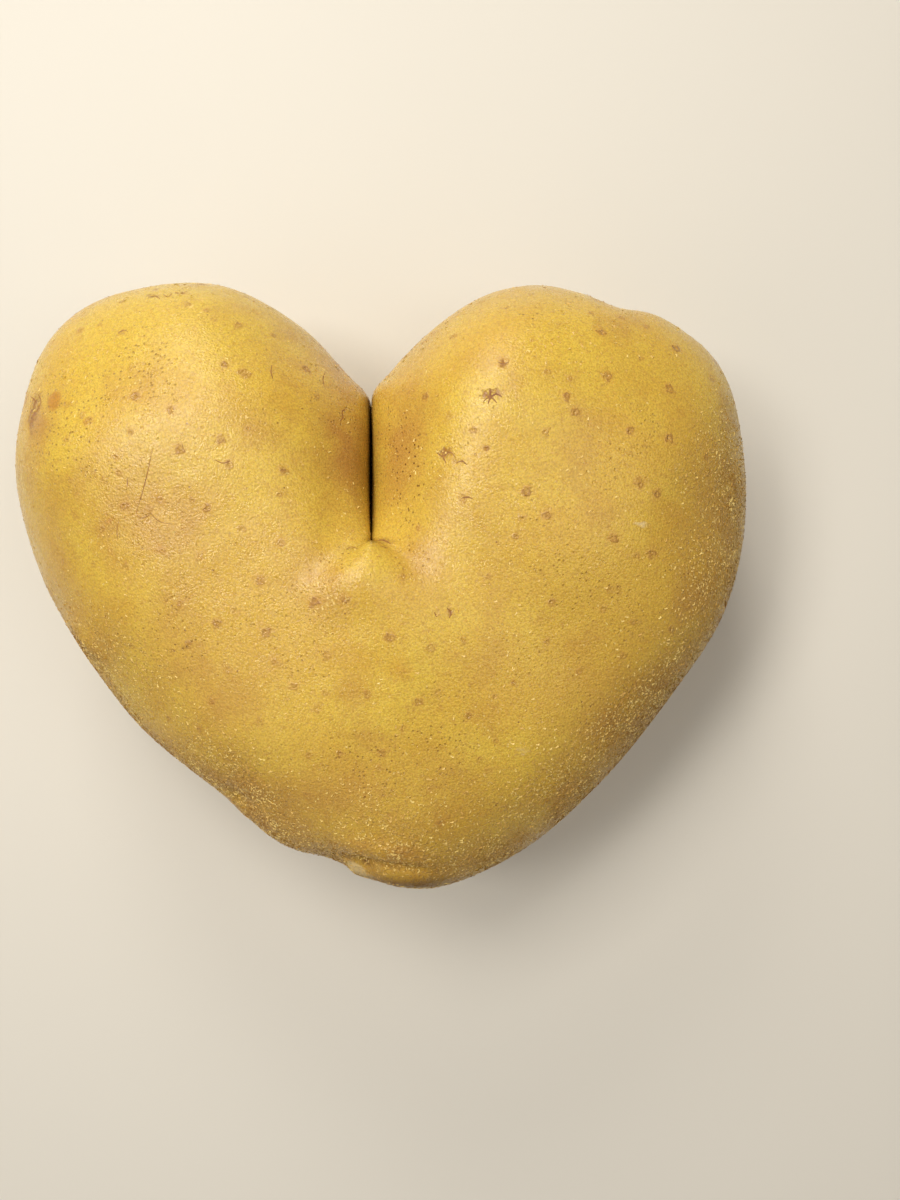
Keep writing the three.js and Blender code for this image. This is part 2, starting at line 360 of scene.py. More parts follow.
def halve_edges(mesh, centre, reach):
    """Halves the edges near a point, for the small forms that are worked there."""
    shape = bmesh.new()
    shape.from_mesh(mesh)
    near = [edge for edge in shape.edges if all((end.co - centre).length < reach for end in edge.verts)]
    bmesh.ops.subdivide_edges(shape, edges=near, cuts=1, use_grid_fill=True)
    shape.to_mesh(mesh)
    shape.free()


def make_skin():
    """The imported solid, rounded, with smaller faces at the eye near the tip."""
    skin = bpy.data.objects.new("potato_skin", merged_solid())
    bpy.context.scene.collection.objects.link(skin)
    rounding = skin.modifiers.new("rounding", "SUBSURF")
    rounding.levels = rounding.render_levels = SKIN_LEVELS
    bake(skin)
    for reach in FINE_REACHES:
        halve_edges(skin.data, TIP_EYE, reach)
    skin.data.polygons.foreach_set("use_smooth", [True] * len(skin.data.polygons))
    return skin


# Where sight lines meet the skin

TURNED_AWAY = -0.22  # skin whose normal has more than this along the sight line is turned away
SAME_PLACE = 1.0 * MM
INWARD_SHARES = np.arange(0, 0.2, 0.01)  # shares of the way to the middle of the potato


class Sight:
    """The skin as the camera sees it, in the shape that it has when this is made."""

    def __init__(self, mesh):
        corners = [corner.co for corner in mesh.vertices]
        self.surface = BVHTree.FromPolygons(corners, [face.vertices for face in mesh.polygons])

    def skin_at(self, across, down):
        """The point and the normal where a pixel's sight line meets the skin. One that just misses
        the outline is moved inwards until it meets it."""
        for inwards in INWARD_SHARES:
            x = across + (PICTURE_MIDDLE[0] - across) * inwards
            y = down + (PICTURE_MIDDLE[1] - down) * inwards
            point, normal, _, _ = self.surface.ray_cast(EYE_POINT, sight_line(x, y))
            if point is not None:
                return point, normal
        raise ValueError(f"the picture shows no skin near {across}, {down}")

    def sees(self, point, normal):
        """Whether the camera looks at this point of the skin from the front, with nothing between."""
        away = point - EYE_POINT
        if normal.dot(away.normalized()) > TURNED_AWAY:
            return False
        hit, _, _, _ = self.surface.ray_cast(EYE_POINT, away.normalized())
        return hit is not None and (hit - point).length < SAME_PLACE


# Cleft, in millimetres

CLEFT_X, CLEFT_Z = -1.85, 28.2  # the cleft's middle, at the height where it lies furthest left
CLEFT_LEAN, CLEFT_ROUNDING = 0.09, 6  # how it leans to the right above and below that height
CLEFT_CLOSING, WALL_REACH = 0.91, 3.8
CLEFT_SHIFT, SHIFT_REACH = -1.15, 16
CLOSED_RISE, CLOSED_FALL = (6, 8), (35, 41)  # along Y
SHIFT_RISE, SHIFT_FALL = (2, 8), (44, 56)


def cleft_middle(z):
    """X of the middle of the cleft at each height."""
    return CLEFT_X + CLEFT_LEAN * (np.hypot(z - CLEFT_Z, CLEFT_ROUNDING) - CLEFT_ROUNDING)


def close_cleft(points):
    """Brings the two walls of the cleft almost together, a little to the left, as in the picture."""
    x, y, z = points.T / MM
    away = x - cleft_middle(z)
    closing = CLEFT_CLOSING * between(CLOSED_RISE, CLOSED_FALL, y) * np.exp(-((away / WALL_REACH) ** 2))
    shift = CLEFT_SHIFT * between(SHIFT_RISE, SHIFT_FALL, y) * np.exp(-((away / SHIFT_REACH) ** 2))
    points[:, 0] = (cleft_middle(z) + away * (1 - closing) + shift) * MM


# Mound at the foot of the cleft, in millimetres

CREST_X, CREST_SIDESTEP, SIDESTEP_RISE = -2.75, 2.95, (-2, 7.5)
CREST_Z, CREST_BEND, BEND_START = 58.7, 0.06, 1
TONGUE_END, TONGUE_DROP = 7.1, 30
SIDE_FALL, SIDE_GROWTH, SIDE_START, SIDE_LENGTH = 0.02, 0.95, 3, 5
MOUND_SOFTNESS, MOUND_HALF_WIDE = 1.0, 9
MOUND_RISE, MOUND_HEIGHTS = (-8, 1), (38, 42)  # where it sets in, along Y and up


def raise_mound(points):
    """Fills the foot of the cleft with a tongue that runs up from the mound between the two lobes."""
    x, y, z = points.T / MM
    crest_x = CREST_X + CREST_SIDESTEP * smoothstep(*SIDESTEP_RISE, y)
    bend = CREST_BEND * np.maximum(y - BEND_START, 0) ** 2
    crest_z = CREST_Z - bend - TONGUE_DROP * np.maximum(y - TONGUE_END, 0)
    steep = SIDE_FALL * np.exp(np.clip(y - SIDE_START, 0, SIDE_LENGTH) * SIDE_GROWTH)
    gap = crest_z - steep * (x - crest_x) ** 2 - z
    rise = 0.5 * (gap + np.sqrt(gap**2 + MOUND_SOFTNESS**2))
    near = np.exp(-((x / MOUND_HALF_WIDE) ** 4)) * smoothstep(*MOUND_RISE, y)
    points[:, 2] += rise * near * smoothstep(*MOUND_HEIGHTS, z) * MM


# Smaller forms: pixel, reach along and across, turn in degrees, and rise, in millimetres

FACE_FORMS = [
    (340, 533, 3.6, 5.0, 0, -1.0),  # valleys on both sides of the mound at the foot of the cleft
    (404, 533, 3.6, 5.0, 0, -0.8),
    (322, 562, 6.0, 2.4, 28, -0.3),
    (410, 560, 5.0, 2.2, -30, -0.5),
    (357, 580, 6.2, 4.8, 0, 1.1),  # the mound
]
EDGE_FORMS = [
    (364, 863, 2.0, 1.1, -30, -0.8),  # eye near the tip: hollow, pit, groove, brow, lip, notch, side
    (367, 861, 1.0, 0.65, -28, -1.6),
    (396, 867, 7.5, 0.8, -8, -0.8),
    (374, 850, 7.5, 2.0, -8, 0.7),
    (404, 881, 9.0, 2.4, -6, 0.8),
    (334, 858, 4.0, 2.0, -15, -0.8),
    (354, 870, 2.8, 1.6, -35, 0.9),
    (236, 795, 2.6, 1.3, -35, -0.9),  # dent and bump on the lower left edge
    (243, 812, 2.4, 2.0, -35, 0.5),
    (84, 640, 5.0, 1.2, -40, 0.5),  # fold on the left edge
]
FACE_HEIGHTS = (34, 46)  # the face sets in over these heights
FACE_FORM_DEPTH, EDGE_FORM_DEPTH = 60, 5


def work_forms(forms, depth, points, ways, sight):
    """Moves the skin out by each form's rise, along these ways."""
    for across, down, along, wide, turn, rise in forms:
        reach = (along * MM, wide * MM, depth * MM)
        spot = soft_spot(points, sight.skin_at(across, down)[0], reach, math.radians(turn))
        points += ways * (rise * MM * spot)[:, None]


def shape_skin(mesh, sight):
    """Works the mound, the forms of the face and the edge, and the closed cleft into the skin."""
    points, normals = points_of(mesh), normals_of(mesh)
    raise_mound(points)
    upwards = smoothstep(*FACE_HEIGHTS, points[:, 2] / MM)[:, None] * np.array((0, 0, 1))
    work_forms(FACE_FORMS, FACE_FORM_DEPTH, points, upwards, sight)
    work_forms(EDGE_FORMS, EDGE_FORM_DEPTH, points, normals, sight)
    close_cleft(points)
    move_points(mesh, points)


# Pores

PORE_SEED = 20
PORE_RADIUS = 0.70 * MM
PORE_GAP = 4.2 * MM
CLEAR_SIZES, FAINT_SIZES = (0.95, 1.2), (0.6, 1.0)  # shares of the pore radius
CLEAR_STRENGTHS, FAINT_STRENGTHS = (0.8, 1.0), (0.3, 0.75)
HIDDEN_PORES, HIDDEN_TRIES = 330, 12  # their number, and how often a place is tried for each
HIDDEN_GAPS, HIDDEN_SIZES, HIDDEN_STRENGTHS = (0.9, 2.2), (0.6, 1.2), (0.3, 1.0)

Pore = namedtuple("Pore", "place radius strength")


def seen_pores(dice, sight):
    """Pores at their places in the picture."""
    pores = []
    for pixel in LEFT_LOBE_PORES + RIGHT_LOBE_PORES + LOWER_BODY_PORES:
        clear = pixel in CLEAR_PORES
        radius = PORE_RADIUS * dice.uniform(*(CLEAR_SIZES if clear else FAINT_SIZES))
        strength = dice.uniform(*(CLEAR_STRENGTHS if clear else FAINT_STRENGTHS))
        pores.append(Pore(sight.skin_at(*pixel)[0], radius, strength))
    return pores


def hidden_pores(dice, sight, mesh, pores):
    """Pores spread over the rest of the skin, about as far apart as in the picture."""
    areas = np.empty(len(mesh.polygons))
    mesh.polygons.foreach_get("area", areas)
    picks = dice.choice(len(areas), size=HIDDEN_PORES * HIDDEN_TRIES, p=areas / areas.sum())
    found = list(pores)
    for pick in picks:
        face = mesh.polygons[int(pick)]
        near = min((face.center - other.place).length for other in found)
        if near < PORE_GAP * dice.uniform(*HIDDEN_GAPS) or sight.sees(face.center, face.normal):
            continue
        radius = PORE_RADIUS * dice.uniform(*HIDDEN_SIZES)
        found.append(Pore(face.center.copy(), radius, dice.uniform(*HIDDEN_STRENGTHS)))
        if len(found) - len(pores) >= HIDDEN_PORES:
            break
    return found[len(pores):]


def spread_pores(mesh, sight):
    """All pores: those of the picture, then those on the skin that it doesn't show."""
    dice = np.random.default_rng(PORE_SEED)
    pores = seen_pores(dice, sight)
    return pores + hidden_pores(dice, sight, mesh, pores)


def tree_of(pores):
    """A tree that finds the pore nearest to a point."""
    tree = KDTree(len(pores))
    for i, pore in enumerate(pores):
        tree.insert(pore.place, i)
    tree.balance()
    return tree


# Relief of the skin

# Lumps and wrinkles: size, height and seed.
LUMPS = [(9 * MM, 0.10 * MM, 1), (3.6 * MM, 0.05 * MM, 2), (1.5 * MM, 0.025 * MM, 3)]
RIM_HEIGHT, RIM_PLACE, RIM_SPREAD = 0.05, 1.15, 0.2  # height in millimetres, place in pore radii
HOLLOW_DEPTH, DIMPLE_REACH = 0.1, 2.5
REST_HEIGHT, REST_FADE = 1.5 * MM, 3 * MM  # the flat spot below stays flat


def dimple(share, strength):
    """Height of the skin round a pore, at this share of its radius from its middle."""
    if share >= DIMPLE_REACH:
        return 0
    rim = RIM_HEIGHT * math.exp(-((share - RIM_PLACE) ** 2) / RIM_SPREAD)
    return strength * MM * (rim - HOLLOW_DEPTH * math.exp(-(share**2)))


def work_relief(mesh, pores):
    """Adds lumps, fine wrinkles and pore dimples to the shaped skin."""
    points, normals = points_of(mesh), normals_of(mesh)
    lift = sum(height * waves_at(points, size, seed) for size, height, seed in LUMPS)
    tree = tree_of(pores)
    for i, point in enumerate(points):
        _, which, away = tree.find(point)
        lift[i] += dimple(away / pores[which].radius, pores[which].strength)
    above_rest = np.clip((points[:, 2] - REST_HEIGHT) / REST_FADE, 0, 1)
    points += normals * (lift * above_rest)[:, None]
    move_points(mesh, points)


# Colour marks, laid on the skin as attributes

MARK_DEPTH = 14 * MM
EDGE_SIDEWAYS, EDGE_DOWNWARDS = 0.6, 0.8  # the way that the lower edges face
# Flaking: how squarely the skin faces that way, and how low it lies in millimetres, from none to full.
LOWER_LEFT_FACING, LOWER_LEFT_Y = (0.25, 0.8), (6, -14)
LOWER_RIGHT_FACING, LOWER_RIGHT_Y = (0.2, 0.75), (10, -20)
RIGHT_FACING, RIGHT_Y, RIGHT_LOBE_X = (0.3, 0.7), (44, 8), 20
LOW_FACE_Y, LOW_FACE_FLAKING = (-24, -50), 0.75
FLAKING_LEAST, FLAKING_SWING, FLAKING_PATCH, FLAKING_SEED = 0.8, 0.7, 12 * MM, 5
FLAKES_POWER = 1.3
STRAY_LEAST, STRAY_MORE, STRAY_PATCH, STRAY_SEED = 0.02, 0.09, 13 * MM, 6
STRAY_WAVES = (0.1, 0.5)
FLOOR_CLEARANCE = (1.0, 3.0)  # flakes set in over these heights, in millimetres
# Painted shade in the cleft: strength, then places in millimetres.
CLEFT_SHADE, SHADE_OFF_MIDDLE, SHADE_RISE, SHADE_FALL = 0.7, (0.1, 0.7), (6.5, 8), (34, 42)
SHADE_Z, SHADE_OFF_Z = 28, (12, 20)


def patch_strength(points, patches, sight):
    """How strongly a list of soft marks covers each point of the skin."""
    total = np.zeros(len(points))
    for across, down, half_wide, half_high, turn, strength in patches:
        reach = (half_wide * PIXEL, half_high * PIXEL, MARK_DEPTH)
        spot = soft_spot(points, sight.skin_at(across, down)[0], reach, math.radians(turn))
        total = np.maximum(total, strength * spot)
    return total


def flaking_strength(points, normals):
    """Flaking skin: on the lower edges and the right edge, fading towards the face."""
    x, y, _ = points.T / MM
    sideways, downwards = normals[:, 0] * EDGE_SIDEWAYS, -normals[:, 1] * EDGE_DOWNWARDS
    lower_left = smoothstep(*LOWER_LEFT_FACING, downwards - sideways) * smoothstep(*LOWER_LEFT_Y, y)
    lower_right = smoothstep(*LOWER_RIGHT_FACING, downwards + sideways) * smoothstep(*LOWER_RIGHT_Y, y)
    right_edge = smoothstep(*RIGHT_FACING, normals[:, 0]) * smoothstep(*RIGHT_Y, y) * (x > RIGHT_LOBE_X)
    low_face = LOW_FACE_FLAKING * smoothstep(*LOW_FACE_Y, y)
    most = np.maximum.reduce([lower_left, lower_right, right_edge, low_face])
    patchy = FLAKING_LEAST + FLAKING_SWING * waves_at(points, FLAKING_PATCH, FLAKING_SEED)
    return np.clip(most * patchy, 0, 1)


def flakes_strength(points, flaking, bare):
    """Where loose flakes lie: on flaking skin, and a few strays elsewhere, but clear of the floor."""
    strays = smoothstep(*STRAY_WAVES, waves_at(points, STRAY_PATCH, STRAY_SEED))
    clear_of_floor = smoothstep(*FLOOR_CLEARANCE, points[:, 2] / MM)
    covered = np.maximum(flaking**FLAKES_POWER, STRAY_LEAST + STRAY_MORE * strays)
    return covered * clear_of_floor * (1 - bare)


def painted_cleft_shade(points):
    """Painted shade, dark brown, on the walls deep in the cleft."""
    x, y, z = points.T / MM
    away = np.abs(x - cleft_middle(z) - CLEFT_SHIFT)
    on_walls = 1 - smoothstep(*SHADE_OFF_MIDDLE, away)
    inside = 1 - smoothstep(*SHADE_OFF_Z, np.abs(z - SHADE_Z))
    return CLEFT_SHADE * on_walls * between(SHADE_RISE, SHADE_FALL, y) * inside


def give(mesh, name, values):
    """Gives each corner of a mesh a value, for a material or a tree to read by its name."""
    layer = mesh.attributes.new(name, "FLOAT", "POINT")
    layer.data.foreach_set("value", values.astype(np.float32))


def lay_marks(mesh, sight):
    """Lays the stains, scuffs, scars, painted shade and flaking on the skin, and tan clouds that are partly
    painted shade.
    """
    points, normals = points_of(mesh), normals_of(mesh)
    # Tan clouds, partly painted shade on the flanks of the cleft.
    give(mesh, "tan", patch_strength(points, TAN_CLOUDS_AND_SHADE, sight))
    give(mesh, "rust", patch_strength(points, RUST_STAINS, sight))
    give(mesh, "scuff", patch_strength(points, BROWN_SCUFFS, sight))
    give(mesh, "speckled", patch_strength(points, SPECKLED_PLACES, sight))
    give(mesh, "scar", patch_strength(points, PALE_SCARS, sight))
    # Painted shade: the listed places, and the walls deep in the cleft.
    give(mesh, "painted_shade", np.maximum(patch_strength(points, PAINTED_SHADES, sight), painted_cleft_shade(points)))
    flaking = flaking_strength(points, normals)
    give(mesh, "flaking", flaking)
    give(mesh, "flakes", flakes_strength(points, flaking, patch_strength(points, BARE_PLACES, sight)))


def lay_pores(mesh, pores):
    """Gives every face corner its place from the nearest pore, as a share of the pore's radius."""
    tree = tree_of(pores)
    nearest = [tree.find(face.center)[1] for face in mesh.polygons]
    centres = np.array([pore.place for pore in pores])
    radii = np.array([pore.radius for pore in pores])
    strengths = np.array([pore.strength for pore in pores])
    sides = np.empty(len(mesh.polygons), int)
    mesh.polygons.foreach_get("loop_total", sides)
    which = np.repeat(np.array(nearest), sides)
    corners = np.empty(len(mesh.loops), int)
    mesh.loops.foreach_get("vertex_index", corners)
    offsets = (points_of(mesh)[corners] - centres[which]) / radii[which][:, None]
    layer = mesh.attributes.new("from_pore", "FLOAT_VECTOR", "CORNER")
    layer.data.foreach_set("vector", offsets.astype(np.float32).ravel())
    layer = mesh.attributes.new("pore_strength", "FLOAT", "CORNER")
    layer.data.foreach_set("value", strengths[which].astype(np.float32))


# Nodes of materials and of trees


class Nodes:
    """A tree of nodes, with short ways to add to it."""

    def __init__(self, graph):
        self.graph = graph

    def add(self, kind, inputs=(), **settings):
        """Adds a node, sets it up, and links its inputs to sockets or sets them to values."""
        node = self.graph.nodes.new(kind)
        for name, value in settings.items():
            setattr(node, name, value)
        for name, value in dict(inputs).items():
            if isinstance(value, bpy.types.NodeSocket):
                self.graph.links.new(value, node.inputs[name])
            else:
                node.inputs[name].default_value = value
        return node

    def maths(self, operation, a, b=0.0):
        return self.add("ShaderNodeMath", {0: a, 1: b}, operation=operation).outputs[0]

    def times(self, a, b):
        return self.maths("MULTIPLY", a, b)


class Finish(Nodes):
    """A material, with short ways to add patterns to it."""

    NOISE_STEP, CELLS_STEP = (1.7, 2.3, 3.1), (1.3, 2.9, 1.9)  # how far apart two starts' patterns are
    LUMPS_PER_UNIT, NOISE_ROUGHNESS = 0.5, 0.55

    def __init__(self, name):
        self.material = bpy.data.materials.new(name)
        self.material.use_nodes = True
        super().__init__(self.material.node_tree)
        self.graph.nodes.clear()
        self.place = self.add("ShaderNodeTexCoord").outputs["Object"]

    def attribute(self, name, output="Fac"):
        return self.add("ShaderNodeAttribute", attribute_name=name).outputs[output]

    def vector(self, operation, a, b=(0, 0, 0), output=0):
        node = self.add("ShaderNodeVectorMath", {0: a, 1: b}, operation=operation)
        return node.outputs[output]

    def moved(self, start, step):
        """The place on the piece, moved along with the start."""
        return self.vector("ADD", self.place, tuple(start * along for along in step))

    def noise(self, size, layers=2.0, start=0, output="Fac"):
        """Noise with lumps of about this size. Another start gives another pattern."""
        inputs = {"Vector": self.moved(start, self.NOISE_STEP), "Scale": self.LUMPS_PER_UNIT / size}
        inputs.update({"Detail": layers, "Roughness": self.NOISE_ROUGHNESS})
        return self.add("ShaderNodeTexNoise", inputs).outputs[output]

    def cells(self, size, start=0):
        """Scattered cells of about this size: distance from the middle of a cell, and its own chance."""
        inputs = {"Vector": self.moved(start, self.CELLS_STEP), "Scale": 1 / size}
        node = self.add("ShaderNodeTexVoronoi", inputs)
        chance = self.add("ShaderNodeSeparateColor", {0: node.outputs["Color"]}).outputs[0]
        return node.outputs["Distance"], chance

    def ramp(self, value, low, high, to_low=0.0, to_high=1.0):
        """Brings a value from one range to another, smoothly, and holds it there."""
        inputs = {"Value": value, "From Min": low, "From Max": high, "To Min": to_low, "To Max": to_high}
        return self.add("ShaderNodeMapRange", inputs, interpolation_type="SMOOTHSTEP").outputs[0]

    def cover(self, tone, over, share, most=1.0):
        """Lays a colour over a tone by a share of it, and at full share by the most that is given."""
        if most < 1:
            share = self.times(share, most)
        return self.add("ShaderNodeMix", {0: share, 6: tone, 7: over}, data_type="RGBA").outputs[2]

    def bump(self, height, depth, before=None):
        inputs = {"Height": height, "Distance": depth, "Strength": 1.0}
        if before:
            inputs["Normal"] = before
        return self.add("ShaderNodeBump", inputs).outputs[0]

    def finish(self, inputs):
        """Ends the material in its shader."""
        shader = self.add("ShaderNodeBsdfPrincipled", inputs)
        self.add("ShaderNodeOutputMaterial", {"Surface": shader.outputs[0]})
        return self.material


def linear(value):
    """An everyday value out of 255 as a share of light, by the standard curve of screens."""
    share = value / 255
    return share / 12.92 if share <= 0.04045 else ((share + 0.055) / 1.055) ** 2.4


def colour(red, green, blue):
    """A colour from its everyday red, green and blue, each out of 255."""
    return (linear(red), linear(green), linear(blue), 1.0)


# Skin material

GOLDEN, LEMON, AMBER = colour(219, 180, 70), colour(226, 193, 76), colour(210, 165, 58)
TAN, RUST = colour(192, 144, 68), colour(184, 112, 30)
DUSTY, PALE_DUST = colour(186, 140, 68), colour(218, 180, 108)
# The deep brown that comes last here is painted shade for hollows and shaded places. It is not a colour of
# the skin.
BARK, SCAB, SHADE_BROWN = colour(118, 66, 24), colour(146, 84, 36), colour(84, 42, 14)
PORE_RING, PORE_HEART, PORE_HALO = colour(140, 86, 40), colour(190, 140, 74), colour(196, 144, 72)
PALE_SCAR = colour(224, 198, 142)
NOISE_MIDDLE, PORE_WOBBLE = (0.5, 0.5, 0.5), (2.2, 2.2, 2.2)


def ground_tone(coat, fine, patchy):
    """Golden skin with lemon and amber parts, tan clouds (those beside the cleft partly painted shade) and
    a fine tan grain.
    """
    tone = coat.cover(GOLDEN, LEMON, coat.ramp(coat.noise(13 * MM, 3.0, 1), 0.38, 0.62))
    tone = coat.cover(tone, AMBER, coat.ramp(coat.noise(8 * MM, 3.0, 2), 0.52, 0.72, 0, 0.5))
    tone = coat.cover(tone, TAN, coat.times(coat.attribute("tan"), coat.ramp(patchy, 0.3, 0.66, 0.45, 1.2)))
    tone = coat.cover(tone, TAN, coat.ramp(coat.noise(8 * MM, 5.0, 6), 0.5, 0.72, 0, 0.55))
    return coat.cover(tone, TAN, coat.ramp(fine, 0.48, 0.72, 0, 0.4))


def specks(coat, size, chance, reach, start):
    """Tiny dots: one in a cell of this size, in the given share of the cells."""
    softness = 0.02
    away, luck = coat.cells(size, start)
    dot = coat.ramp(away, reach, reach / 2)
    return coat.times(dot, coat.ramp(luck, 1 - chance - softness, 1 - chance))


def fine_flecks(coat):
    """Fine dark flecks, thick in the speckled places and thin elsewhere."""
    elsewhere = coat.ramp(coat.noise(9 * MM, 3.0, 10), 0.45, 0.7, 0.12, 0.7)
    zone = coat.maths("MAXIMUM", coat.attribute("speckled"), elsewhere)
    return coat.times(specks(coat, size=0.78 * MM, chance=0.6, reach=0.3, start=1), zone)


def pore_parts(coat):
    """The ring, the heart and the halo of the nearest pore, each from 0 to 1."""
    wobble = coat.vector("SUBTRACT", coat.noise(0.5 * MM, 2.0, 3, "Color"), NOISE_MIDDLE)
    wobble = coat.vector("MULTIPLY", wobble, PORE_WOBBLE)
    place = coat.vector("ADD", coat.attribute("from_pore", "Vector"), wobble)
    away = coat.vector("LENGTH", place, output="Value")
    ring = coat.times(coat.ramp(away, 0.2, 0.75), coat.ramp(away, 1.3, 0.8))
    ring = coat.times(ring, coat.ramp(coat.noise(0.35 * MM, 2.0, 13), 0.3, 0.6, 0.25, 1.0))
    heart = coat.ramp(away, 0.5, 0.1)
    halo = coat.ramp(away, 2.4, 0.4)
    strength = coat.attribute("pore_strength")
    return [coat.times(part, strength) for part in (ring, heart, halo)]


def torn(coat, name, broken, low, high, spread):
    """A soft stain from the mesh, with its edge broken up by noise."""
    stain = coat.attribute(name)
    uneven = coat.times(coat.maths("SUBTRACT", broken, 0.5), spread)
    inside = coat.ramp(coat.maths("ADD", stain, uneven), low, high)
    return coat.times(inside, coat.ramp(stain, 0.04, 0.25))


def skin_bumps(coat, grain, scaly, flecks, ring, heart, scuffed):
    """The skin's fine relief: pebbles, grain, scales, flecks, pores and scuffs."""
    normal = coat.bump(coat.noise(0.2 * MM, 2.0, 11), 0.12 * MM)
    normal = coat.bump(grain, 0.05 * MM, normal)
    normal = coat.bump(scaly, 0.15 * MM, normal)
    normal = coat.bump(coat.times(flecks, -1.0), 0.14 * MM, normal)
    normal = coat.bump(coat.maths("SUBTRACT", coat.times(ring, 0.6), heart), 0.12 * MM, normal)
    return coat.bump(coat.times(scuffed, -1.0), 0.12 * MM, normal)


def skin_finish():
    """Yellow skin: its ground tone, then flaking, stains, specks, pores, scars and painted shade, one over
    another.
    """
    coat = Finish("potato_skin")
    fine = coat.noise(0.4 * MM, 4.0, 4)
    patchy = coat.noise(3.5 * MM, 4.0, 5)
    ragged = coat.noise(0.9 * MM, 3.0, 8)
    grain = coat.noise(0.16 * MM, 3.0, 9)
    tone = ground_tone(coat, fine, patchy)

    flaking = coat.attribute("flaking")
    scaly = coat.times(flaking, coat.ramp(coat.noise(0.3 * MM, 3.0, 7), 0.52, 0.66))
    tone = coat.cover(tone, DUSTY, coat.times(flaking, coat.ramp(patchy, 0.3, 0.65, 0.35, 0.85)))
    tone = coat.cover(tone, PALE_DUST, scaly, most=0.6)

    tone = coat.cover(tone, RUST, torn(coat, "rust", patchy, 0.2, 0.8, 0.9), most=0.6)
    scuffed = torn(coat, "scuff", ragged, 0.35, 0.95, 1.6)
    scuffed = coat.times(scuffed, coat.ramp(fine, 0.35, 0.55, 0.2, 1.0))
    tone = coat.cover(tone, SCAB, scuffed, most=0.75)

    tone = coat.cover(tone, BARK, coat.ramp(grain, 0.6, 0.38, 0, 0.28))
    flecks = fine_flecks(coat)
    tone = coat.cover(tone, BARK, flecks, most=0.72)
    tone = coat.cover(tone, BARK, specks(coat, size=3.6 * MM, chance=0.4, reach=0.06, start=2), most=0.8)

    ring, heart, halo = pore_parts(coat)
    tone = coat.cover(tone, PORE_HALO, halo, most=0.5)
    tone = coat.cover(tone, PORE_RING, ring, most=0.62)
    tone = coat.cover(tone, PORE_HEART, heart, most=0.5)
    tone = coat.cover(tone, PALE_SCAR, torn(coat, "scar", fine, 0.3, 0.7, 0.6), most=0.8)
    # Painted shade, darkest in the hollows and under the lip.
    tone = coat.cover(tone, SHADE_BROWN, coat.attribute("painted_shade"), most=0.85)

    rough = coat.ramp(coat.noise(1.2 * MM, 4.0, 12), 0.3, 0.7, 0.2, 0.35)
    return coat.finish({
        "Base Color": tone,
        "Roughness": coat.maths("ADD", rough, coat.times(flaking, 0.15)),
        "Normal": skin_bumps(coat, grain, scaly, flecks, ring, heart, scuffed),
        "Specular IOR Level": coat.ramp(flaking, 0.1, 0.9, 0.55, 0.2),
        "Subsurface Weight": 0.1,
        "Subsurface Radius": (1.0, 0.55, 0.18),
        "Subsurface Scale": 2.0 * MM,
    })


# Other materials

STRAW, DRY_STRAW = colour(242, 212, 128), colour(212, 168, 86)
DARK_CRACK, LIGHT_CRACK = colour(132, 80, 36), colour(162, 112, 54)
WARM_WHITE, WARM_GREY = colour(226, 222, 214), colour(220, 216, 208)


def flake_finish():
    """Dry, straw-coloured flakes of skin."""
    coat = Finish("loose_flakes")
    tone = coat.cover(STRAW, DRY_STRAW, coat.ramp(coat.noise(2 * MM, 2.0, 1), 0.35, 0.65))
    return coat.finish({"Base Color": tone, "Roughness": 0.42, "Specular IOR Level": 0.5})


def crack_finish():
    """Brown, corky cracks."""
    coat = Finish("skin_cracks")
    tone = coat.cover(DARK_CRACK, LIGHT_CRACK, coat.ramp(coat.noise(1 * MM, 2.0, 1), 0.35, 0.65))
    return coat.finish({"Base Color": tone, "Roughness": 0.6})


def floor_finish():
    """A plain, pale, matt floor."""
    coat = Finish("pale_floor")
    tone = coat.cover(WARM_WHITE, WARM_GREY, coat.noise(80 * MM, 2.0))
    return coat.finish({"Base Color": tone, "Roughness": 0.8})


# Loose flakes of skin

FLAKES_PER_SQUARE_METRE = 3.7e6
FLAKE_SIDE = 0.52 * MM
FLAKE_SEED = 4
FLAKE_LONG, FLAKE_WIDE = 0.9, 0.55  # shares of the flake's side
FLAKE_CORNERS_LONG, FLAKE_CORNERS_WIDE = 4, 2
END_LIFT, SIDE_DIP = 0.35, -0.8
LEAST_SPIN, MOST_SPIN = (0, -0.1, -math.pi), (0.5, 0.5, math.pi)
LEAST_SIZE, MOST_SIZE = (0.5, 0.5, 0.5), (1.3, 1.2, 1.2)


class Tree(Nodes):
    """A tree of geometry nodes with named inputs."""

    def __init__(self, name):
        super().__init__(bpy.data.node_groups.new(name, "GeometryNodeTree"))
        self.entry = self.graph.nodes.new("NodeGroupInput")
        self.graph.interface.new_socket("Geometry", in_out="OUTPUT", socket_type="NodeSocketGeometry")

    def takes(self, name, kind):
        self.graph.interface.new_socket(name, in_out="INPUT", socket_type="NodeSocket" + kind)
        return self.entry.outputs[name]

    def gives(self, geometry):
        self.graph.links.new(geometry, self.graph.nodes.new("NodeGroupOutput").inputs[0])

    def identifier(self, name):
        return self.entry.outputs[name].identifier

    def chance(self, least, most, seed):
        """A random vector between these two, another for each flake."""
        inputs = {"Min": least, "Max": most, "Seed": seed}
        return self.add("FunctionNodeRandomValue", inputs, data_type="FLOAT_VECTOR").outputs[0]


